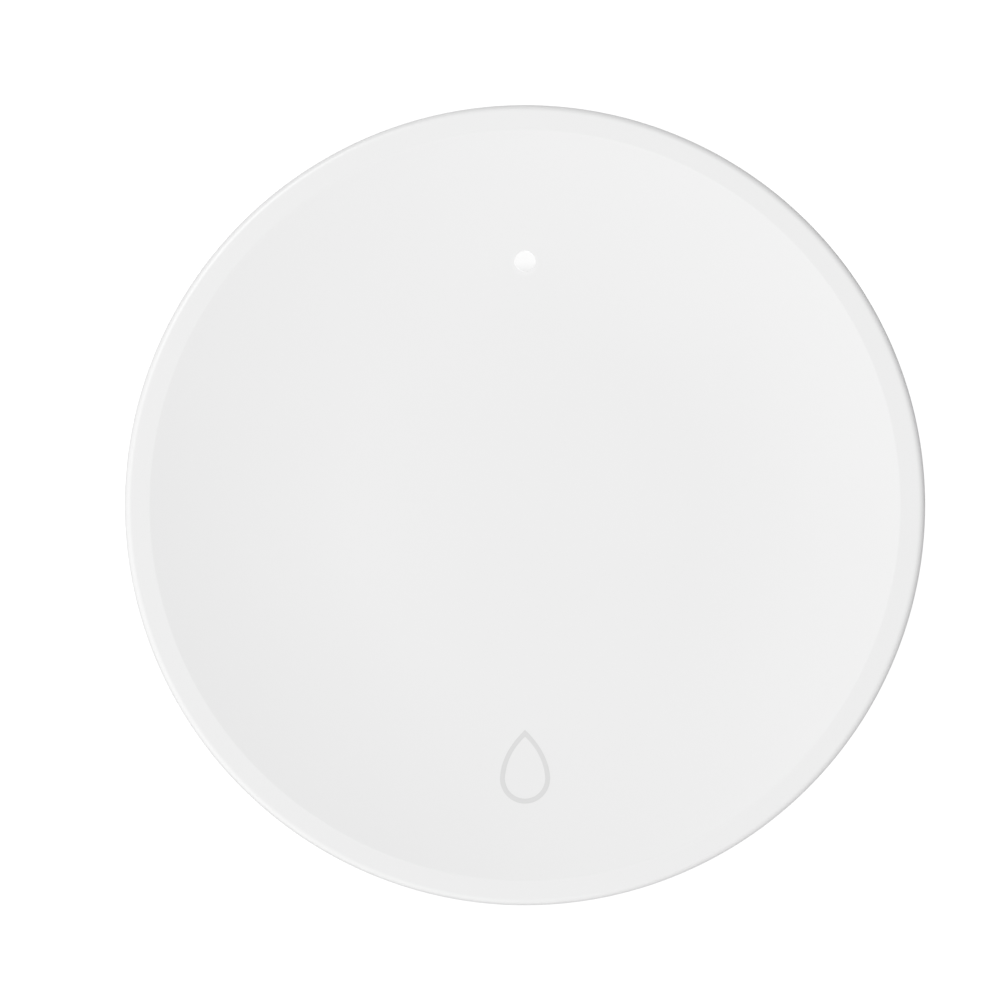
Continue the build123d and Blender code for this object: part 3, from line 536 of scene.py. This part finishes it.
class SENSOR_OT_cover(bpy.types.Operator):
    """Give the cover a smooth outside in satin white, with painted glow round the status light and
    painted light on the shaded wall of its hole
    """

    bl_idname = "sensor.cover"
    bl_label = "Cover"

    def execute(self, context):
        settings = context.scene.leak_sensor
        cover, finish = settings.cover, settings.finish
        low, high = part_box("top_cover")
        bm = self.inside(cover, high)
        open_edges = [edge for edge in bm.edges if edge.is_boundary]
        halfway = (low.z + high.z) / 2
        hole = [edge for edge in open_edges if edge.verts[0].co.z > halfway]
        skirt = [edge for edge in open_edges if edge.verts[0].co.z <= halfway]
        bottom = self.skin(bm, cover, low, high)
        bmesh.ops.triangle_fill(bm, use_beauty=True, edges=skirt + bottom)
        self.join_hole(bm, hole, cover.patch)
        if any(edge.is_boundary for edge in bm.edges):
            raise RuntimeError("the cover's outside does not close")
        bmesh.ops.recalc_face_normals(bm, faces=list(bm.faces))
        for edge in bm.edges:
            edge.smooth = edge.calc_face_angle(0) < SHARP
        for edge in loop(bm, cover.crease_radius, high.z):
            edge.smooth = False
        # The cover's satin carries the painted glow round the pipe and the painted light on the
        # hole's wall.
        satin = moulded_plastic(
            "cover_satin", finish.white, finish.satin, glow=self.painted_light_round_pipe(settings.light)
        )
        shell = new_piece("cover_shell", bm, satin, "housing")
        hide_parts("top_cover")
        return {"FINISHED"}

    def painted_light_round_pipe(self, light):
        """Makes the pattern of painted light on the hole's wall, which lifts its shade, and of
        painted glow in the cover round the pipe.
        """
        pipe = middle("light_pipe")
        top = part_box("light_pipe")[1].z
        radius = tip_radius("light_pipe", pipe)

        def pattern(nodes):
            gap = nodes.distance((pipe.x, pipe.y, 0), flatten=UPRIGHT)
            near = nodes.distance((pipe.x, pipe.y - light.glow_drop, top))
            # Painted glow in the cover round the pipe, shifted towards the sign.
            glow = (1 - near.ramp(radius, light.glow_reach)) * light.glow
            # Painted light on the hole's wall, which lifts the shade of the gap round the pipe.
            below = top - nodes.offset("Z")
            wall = 1 - gap.ramp(radius * light.wall_light_inner, radius * light.wall_light_outer)
            lit_wall = wall * below.ramp(light.wall_light_start, light.wall_light_full)
            return lit_wall * light.painted_wall_light + glow

        return pattern

    def inside(self, cover, high):
        """A merged copy of the construction piece without its outside."""
        bm = bmesh.new()
        bm.from_mesh(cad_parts["top_cover"].data)
        bmesh.ops.remove_doubles(bm, verts=list(bm.verts), dist=SAME_PLACE)
        wall = high.x - cover.skirt_edge / 2
        dish = high.z - cover.dish_depth - cover.margin
        outside = [
            face
            for face in bm.faces
            if any(vert.co.xy.length > wall for vert in face.verts)
            or (face.normal.z > FACES_UP and face.calc_center_median().z > dish)
        ]
        bmesh.ops.delete(bm, geom=outside, context="FACES")
        return bm

    def skin(self, bm, cover, low, high):
        """Spins dish, crease, rim and wall round the axis; gives the edges of its open bottom."""
        floor = high.z - cover.dish_depth
        rim = high.x - cover.draft
        foot = high.x - cover.skirt_edge / 2
        crease = self.dish(bm, cover, floor)
        places = (
            (rim - cover.edge_round - cover.support, high.z),
            (rim, high.z),
            (rim, high.z - cover.edge_round - cover.support),
            (high.x, low.z + cover.support),
            (high.x, low.z),
            (foot, low.z),
        )
        chain = [crease] + [bm.verts.new((radius, 0, z)) for radius, z in places]
        for pair in zip(chain, chain[1:]):
            bm.edges.new(pair)
        profile = [part for parts in (bm.verts, bm.edges) for part in parts if part.is_wire]
        bmesh.ops.spin(
            bm,
            geom=profile,
            cent=(0, 0, 0),
            axis=(0, 0, 1),
            angle=math.tau,
            steps=cover.segments,
            use_merge=True,
        )
        bmesh.ops.remove_doubles(bm, verts=list(bm.verts), dist=SAME_PLACE)
        bmesh.ops.edgeloop_fill(bm, edges=loop(bm, cover.flat_radius, floor))
        bmesh.ops.bevel(
            bm,
            geom=loop(bm, rim, high.z),
            offset=cover.edge_round,
            segments=cover.edge_steps,
            profile=0.5,
            affect="EDGES",
            material=-1,
        )
        return loop(bm, foot, low.z)

    def dish(self, bm, cover, floor):
        """Draws the dish's arc from the flat middle up to the crease, and gives its upper end."""
        rise, run = cover.dish_depth, cover.crease_radius - cover.flat_radius
        arc_radius = (rise**2 + run**2) / (2 * rise)
        arc = bmesh.ops.spin(
            bm,
            geom=[bm.verts.new((cover.flat_radius, 0, floor))],
            cent=(cover.flat_radius, 0, floor + arc_radius),
            axis=(0, -1, 0),
            angle=math.asin(run / arc_radius),
            steps=cover.dish_steps,
        )
        return next(part for part in arc["geom_last"] if isinstance(part, bmesh.types.BMVert))

    def join_hole(self, bm, hole, patch):
        """Cuts the skin back round the light's hole and fits a surface between the two."""
        pipe = middle("light_pipe")
        reach = max(away(vert, pipe) for edge in hole for vert in edge.verts) + patch
        around = [
            face
            for face in bm.faces
            if face.normal.z > FACES_UP and min(away(vert, pipe) for vert in face.verts) < reach
        ]
        bmesh.ops.delete(bm, geom=around, context="FACES")
        torn = [edge for edge in bm.edges if edge.is_boundary]
        bmesh.ops.triangle_fill(bm, use_beauty=True, edges=torn)


class SENSOR_OT_drop_sign(bpy.types.Operator):
    """Print the outline of a drop on the dished top"""

    bl_idname = "sensor.drop_sign"
    bl_label = "Drop sign"

    def execute(self, context):
        sign = context.scene.leak_sensor.sign
        bm = bmesh.new()
        outer = self.outline(bm, sign, 0)
        inner = self.outline(bm, sign, sign.stroke)
        line = bmesh.ops.bridge_loops(bm, edges=outer + inner)
        solid = bmesh.ops.extrude_face_region(bm, geom=line["faces"])
        raised = [part for part in solid["geom"] if isinstance(part, bmesh.types.BMVert)]
        bmesh.ops.translate(bm, verts=raised, vec=(0, 0, sign.film))
        bmesh.ops.recalc_face_normals(bm, faces=list(bm.faces))
        bmesh.ops.translate(bm, verts=list(bm.verts), vec=(0, sign.round_y, 0))
        self.lay_down(context, bm, sign.film / 2)
        ink = moulded_plastic("sign_ink", sign.ink, roughness=0.55, depth=0.0003)
        new_piece("drop_print", bm, ink, "housing", smooth=False)
        return {"FINISHED"}

    def outline(self, bm, sign, inset):
        """The edges of a drop, drawn this far inside the sign's outer line."""
        edge = Vector((math.cos(sign.shoulder), math.sin(sign.shoulder), 0))
        along = Vector((-edge.y, edge.x, 0))
        bulge = Vector((sign.side_x, sign.side_rise, 0))
        slope = bulge - Vector((0, sign.point_rise, 0))
        leave = edge * (sign.round_radius - inset)
        sine = abs(slope.x) / slope.length
        point = Vector((0, sign.point_rise - inset / sine, 0))
        bulge = intersect_line_line(leave, leave + along, point, point + slope)[0]
        ring = bmesh.ops.create_circle(
            bm, cap_ends=False, segments=sign.segments, radius=sign.round_radius - inset
        )
        for vert in ring["verts"]:
            turn = math.atan2(vert.co.y, abs(vert.co.x))
            if turn > sign.shoulder:
                u = (turn - sign.shoulder) / (math.pi / 2 - sign.shoulder)
                spot = leave * (1 - u) ** 2 + bulge * (2 * u * (1 - u)) + point * u**2
                vert.co = (math.copysign(spot.x, vert.co.x), spot.y, 0)
        return list({edge for vert in ring["verts"] for edge in vert.link_edges})

    def lay_down(self, context, bm, sunk):
        """Lowers the flat print on to the cover, this far into its surface."""
        cover = BVHTree.FromObject(
            bpy.data.objects["cover_shell"], context.evaluated_depsgraph_get()
        )
        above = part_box("top_cover")[1].z + MM
        for vert in bm.verts:
            hit = cover.ray_cast(Vector((vert.co.x, vert.co.y, above)), Vector((0, 0, -1)))[0]
            if hit is None:
                raise RuntimeError("the drop sign misses the cover")
            vert.co.z += hit.z - sunk


class SENSOR_OT_status_light(bpy.types.Operator):
    """Give the pipe a painted glow and the lamp under it its lens colour"""

    bl_idname = "sensor.status_light"
    bl_label = "Status light"

    def execute(self, context):
        light = context.scene.leak_sensor.light
        milky = moulded_plastic(
            "milky_pipe",
            light.lens,
            roughness=0.3,
            grain=0.3,
            depth=0.0002,
            glow=self.painted_pipe_glow(light),
        )
        dress(milky, "light_pipe")
        dress(moulded_plastic("lamp_lens", light.lamp, roughness=0.25, depth=0.0004), "status_led")
        return {"FINISHED"}

    def painted_pipe_glow(self, light):
        """Makes the pattern of painted glow on the pipe's tip, which fades towards the sign, and of
        painted light on its shaded side.
        """
        pipe = middle("light_pipe")
        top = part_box("light_pipe")[1].z

        def pattern(nodes):
            along = nodes.offset("Y", pipe)
            below = top - nodes.offset("Z")
            # Painted light on the pipe's shaded side, and painted glow on its tip that fades
            # towards the sign.
            side = below.ramp(light.side_start, light.side_full) * light.painted_side_light
            return along.ramp(light.fade_end, light.fade_start) * light.brightness + side

        return pattern


class SENSOR_OT_case(bpy.types.Operator):
    """Finish the base, the door, the button and the feet"""

    bl_idname = "sensor.case"
    bl_label = "Case"

    def execute(self, context):
        finish = context.scene.leak_sensor.finish
        dress(moulded_plastic("base_satin", finish.white, finish.satin, grain=0.14), "base_shell")
        dress(
            moulded_plastic(
                "door_satin", finish.door_white, roughness=0.42, grain=0.1, depth=0.0005
            ),
            "battery_door",
        )
        dress(
            moulded_plastic("button_satin", finish.button_grey, roughness=0.5, grain=0.08),
            "pairing_button",
        )
        silicone = soft_rubber("foot_silicone", finish.silicone, roughness=0.62, bloom=0.15)
        dress(silicone, *numbered("foot_"))
        return {"FINISHED"}


class SENSOR_OT_seals(bpy.types.Operator):
    """Lay round sealing rings in the grooves"""

    bl_idname = "sensor.seals"
    bl_label = "Seals"

    def execute(self, context):
        settings = context.scene.leak_sensor
        rubber = soft_rubber("seal_rubber", settings.finish.rubber, roughness=0.55)
        bodies = {"case_seal": "housing", "door_seal": "door", "button_seal": "button"}
        for name, body in bodies.items():
            bm = self.ring(name, settings.seals)
            ring = new_piece(name + "_ring", bm, rubber, body)
            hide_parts(name)
        dress(rubber, *numbered("probe_seal_"))
        return {"FINISHED"}

    def ring(self, name, seals):
        """Spins a round section that fills the box and the width of a construction ring."""
        low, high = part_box(name)
        centre = middle(name)
        radii = [away(vert, centre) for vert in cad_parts[name].data.vertices]
        width = max(radii) - min(radii)
        reach = (high.x - low.x) / 2 - width / 2
        bm = bmesh.new()
        # The circle is 1 across, so that its scale is the section's width and height.
        bmesh.ops.create_circle(bm, segments=seals.section_steps, radius=0.5)
        across = Matrix.Diagonal((width, high.z - low.z, 1, 1))
        upright = Matrix.Rotation(math.pi / 2, 4, "X")
        placed = Matrix.Translation(centre + Vector((reach, 0, 0))) @ upright @ across
        bmesh.ops.transform(bm, verts=list(bm.verts), matrix=placed)
        bmesh.ops.spin(
            bm,
            geom=list(bm.verts) + list(bm.edges),
            cent=centre,
            axis=(0, 0, 1),
            angle=math.tau,
            steps=seals.ring_steps,
            use_merge=True,
        )
        bmesh.ops.recalc_face_normals(bm, faces=list(bm.faces))
        return bm


class SENSOR_OT_metal(bpy.types.Operator):
    """Finish the probes, the screws, the pillars, the contacts and the cell"""

    bl_idname = "sensor.metal"
    bl_label = "Metal"

    def execute(self, context):
        finish = context.scene.leak_sensor.finish
        for name in numbered("probe_screw_"):
            steel = turned_metal(
                name + "_steel", finish.stainless, roughness=0.24, centre=middle(name), pitch=0.16
            )
            dress(steel, name)
        for name in numbered("probe_pillar_"):
            brass = turned_metal(name + "_brass", finish.brass, roughness=0.3, centre=middle(name))
            dress(brass, name)
        dress(
            drawn_metal("plated_steel", finish.steel, roughness=0.36, grain=(0.4, 0.4, 0.08)),
            "case_screws",
            "board_screws",
        )
        dress(
            drawn_metal("spring_sheet", finish.nickel, roughness=0.3, grain=(3.0, 0.06, 3.0)),
            "negative_contact",
            "positive_contact",
        )
        axis = middle("battery_can")
        dress(
            turned_metal("cell_can", finish.nickel, roughness=0.3, centre=axis, pitch=0.35),
            "battery_can",
        )
        dress(
            turned_metal("cell_cap", finish.nickel, roughness=0.26, centre=axis, pitch=0.25),
            "battery_cap",
        )
        dress(
            moulded_plastic("cell_gasket", finish.gasket, roughness=0.5, grain=0.2),
            "battery_gasket",
        )
        return {"FINISHED"}


class SENSOR_OT_board(bpy.types.Operator):
    """Finish the circuit board and what stands on it"""

    bl_idname = "sensor.board"
    bl_label = "Board"

    def execute(self, context):
        finish = context.scene.leak_sensor.finish
        plated = finish.plated
        dress(
            printed_board("board_mask", finish.solder_mask, finish.track, plated, pitch=1.9),
            "circuit_board",
        )
        dress(
            printed_board("radio_mask", finish.radio_mask, finish.radio_track, plated, pitch=1.1),
            "radio_board",
        )
        dress(
            drawn_metal("shield_tin", finish.tin, roughness=0.33, grain=(0.06, 3.0, 3.0)),
            "radio_shield",
        )
        dress(
            moulded_plastic("chip_epoxy", finish.chip, roughness=0.5, grain=0.06, depth=0.003),
            "main_chip",
        )
        dress(drawn_metal("crystal_lid", finish.crystal, roughness=0.28), "clock_crystal")
        dress(
            moulded_plastic("reservoir_epoxy", finish.reservoir, roughness=0.45, mottle=0.08),
            "reservoir_capacitor",
        )
        dress(
            moulded_plastic(
                "capacitor_ceramic", finish.ceramic, roughness=0.5, grain=0.05, mottle=0.15
            ),
            "small_capacitors",
        )
        dress(moulded_plastic("switch_black", finish.switch_black, roughness=0.4), "switch_body")
        dress(
            moulded_plastic("plunger_brown", finish.plunger_brown, roughness=0.5),
            "switch_plunger",
        )
        return {"FINISHED"}


class SENSOR_OT_stage(bpy.types.Operator):
    """Set up the floor, the light and the camera"""

    bl_idname = "sensor.stage"
    bl_label = "Stage"

    def execute(self, context):
        scene = context.scene
        stage = scene.leak_sensor.stage
        scene.view_settings.view_transform = "Standard"
        self.lay_floor(scene, stage)
        self.soft_sky(scene, stage)
        self.hang_lamp(scene, stage)
        self.aim_camera(scene, stage)
        return {"FINISHED"}

    def lay_floor(self, scene, stage):
        """A wide flat floor under the sensor."""
        bm = bmesh.new()
        bmesh.ops.create_grid(
            bm,
            x_segments=stage.floor_steps,
            y_segments=stage.floor_steps,
            size=stage.floor_width / 2,
        )
        mesh = bpy.data.meshes.new("floor")
        bm.to_mesh(mesh)
        bm.free()
        mesh.materials.append(self.pale_floor(stage))
        floor = bpy.data.objects.new("floor", mesh)
        scene.collection.objects.link(floor)

    def pale_floor(self, stage):
        """A floor that shines white by itself, with a painted shadow under the sensor where it
        shines less, and not from below.
        """
        low, high = cad_box
        radius = (high.x - low.x) / 2
        material = bpy.data.materials.new("pale_floor")
        nodes = Nodes(material)
        middle_out = nodes.distance((0, 0, 0))
        # Painted shadow under the sensor: 0 there and 1 clear of it.
        clear_of_it = middle_out.ramp(radius * stage.shade_inner, radius * stage.shade_outer)
        # Floor level under the sensor: a painted shadow for the camera, and the light that the
        # floor throws on the underside.
        shade = tint(WHITE, stage.shade_glow)
        seen = nodes.add(
            "ShaderNodeBsdfPrincipled",
            None,
            {
                "Base Color": tint(stage.floor_colour),
                "Roughness": 0.9,
                "Emission Color": nodes.mix(clear_of_it, shade, tint(WHITE, stage.floor_glow)),
                "Emission Strength": 1.0,
            },
        )
        thrown = nodes.add(
            "ShaderNodeBsdfPrincipled",
            None,
            {
                "Base Color": tint(WHITE, stage.floor_grey),
                "Roughness": 1.0,
                "Specular IOR Level": 0.0,
                "Emission Color": nodes.mix(clear_of_it, shade, tint(BLACK)),
                "Emission Strength": 1.0,
            },
        )
        straight = nodes.add("ShaderNodeLightPath", output="Is Camera Ray")
        above = nodes.add("ShaderNodeMixShader", None, {0: straight, 1: thrown, 2: seen})
        clear = nodes.add("ShaderNodeBsdfTransparent")
        behind = nodes.add("ShaderNodeNewGeometry", output="Backfacing")
        whole = nodes.add("ShaderNodeMixShader", None, {0: behind, 1: above, 2: clear})
        nodes.add("ShaderNodeOutputMaterial", None, {"Surface": whole})
        return material

    def soft_sky(self, scene, stage):
        """Soft light from all round, brighter from one side, with a plain white backdrop."""
        scene.world = bpy.data.worlds.new("studio")
        nodes = Nodes(scene.world)
        way = nodes.add("ShaderNodeTexCoord", output="Generated")
        bright = (math.cos(stage.sky_angle), math.sin(stage.sky_angle), 0)
        side = nodes.add(
            "ShaderNodeVectorMath", {"operation": "DOT_PRODUCT"}, {0: way, 1: bright}, output=1
        )
        light = nodes.add(
            "ShaderNodeBackground",
            None,
            {"Color": tint(WHITE), "Strength": stage.sky + side * stage.sky_slope},
        )
        backdrop = nodes.add("ShaderNodeBackground", None, {"Color": tint(WHITE)})
        seen = nodes.add("ShaderNodeLightPath", output="Is Camera Ray")
        sky = nodes.add("ShaderNodeMixShader", None, {0: seen, 1: light, 2: backdrop})
        nodes.add("ShaderNodeOutputWorld", None, {"Surface": sky})

    def hang_lamp(self, scene, stage):
        """A large round lamp that points at the sensor from high on one side."""
        lamp = bpy.data.lights.new("soft_lamp", "AREA")
        lamp.shape = "DISK"
        lamp.size = 2 * stage.lamp_radius
        lamp.energy = stage.lamp_power
        soft_lamp = bpy.data.objects.new("soft_lamp", lamp)
        soft_lamp.matrix_world = (
            Matrix.Rotation(stage.lamp_angle + math.pi / 2, 4, "Z")
            @ Matrix.Rotation(math.pi / 2 - stage.lamp_height, 4, "X")
            @ Matrix.Translation((0, 0, stage.lamp_distance))
        )
        scene.collection.objects.link(soft_lamp)

    def aim_camera(self, scene, stage):
        """A long lens that looks straight down on the sensor."""
        camera = bpy.data.cameras.new("camera")
        camera.lens = stage.lens_mm
        camera.clip_start = stage.nearest
        camera.dof.use_dof = False
        eye = bpy.data.objects.new("camera", camera)
        distance = stage.view_width * stage.lens_mm / camera.sensor_width
        eye.location = (stage.view_x, stage.view_y, cad_box[1].z + distance)
        scene.collection.objects.link(eye)
        scene.camera = eye


STEPS = ("cover", "drop_sign", "status_light", "case", "seals", "metal", "board", "stage")


class SENSOR_PT_panel(bpy.types.Panel):
    """Steps that dress the sensor"""

    bl_label = "Leak sensor"
    bl_idname = "SENSOR_PT_panel"
    bl_space_type = "VIEW_3D"
    bl_region_type = "UI"
    bl_category = "Leak sensor"

    def draw(self, context):
        for step in STEPS:
            self.layout.operator("sensor." + step)


CLASSES = (
    CoverSettings,
    SignSettings,
    LightSettings,
    SealSettings,
    FinishSettings,
    StageSettings,
    SensorSettings,
    SENSOR_OT_cover,
    SENSOR_OT_drop_sign,
    SENSOR_OT_status_light,
    SENSOR_OT_case,
    SENSOR_OT_seals,
    SENSOR_OT_metal,
    SENSOR_OT_board,
    SENSOR_OT_stage,
    SENSOR_PT_panel,
)


def register():
    for cls in CLASSES:
        bpy.utils.register_class(cls)
    bpy.types.Scene.leak_sensor = PointerProperty(type=SensorSettings)


def unregister():
    del bpy.types.Scene.leak_sensor
    for cls in reversed(CLASSES):
        bpy.utils.unregister_class(cls)


def main():
    register()
    for step in STEPS:
        getattr(bpy.ops.sensor, step)()


if __name__ == "__main__":
    main()
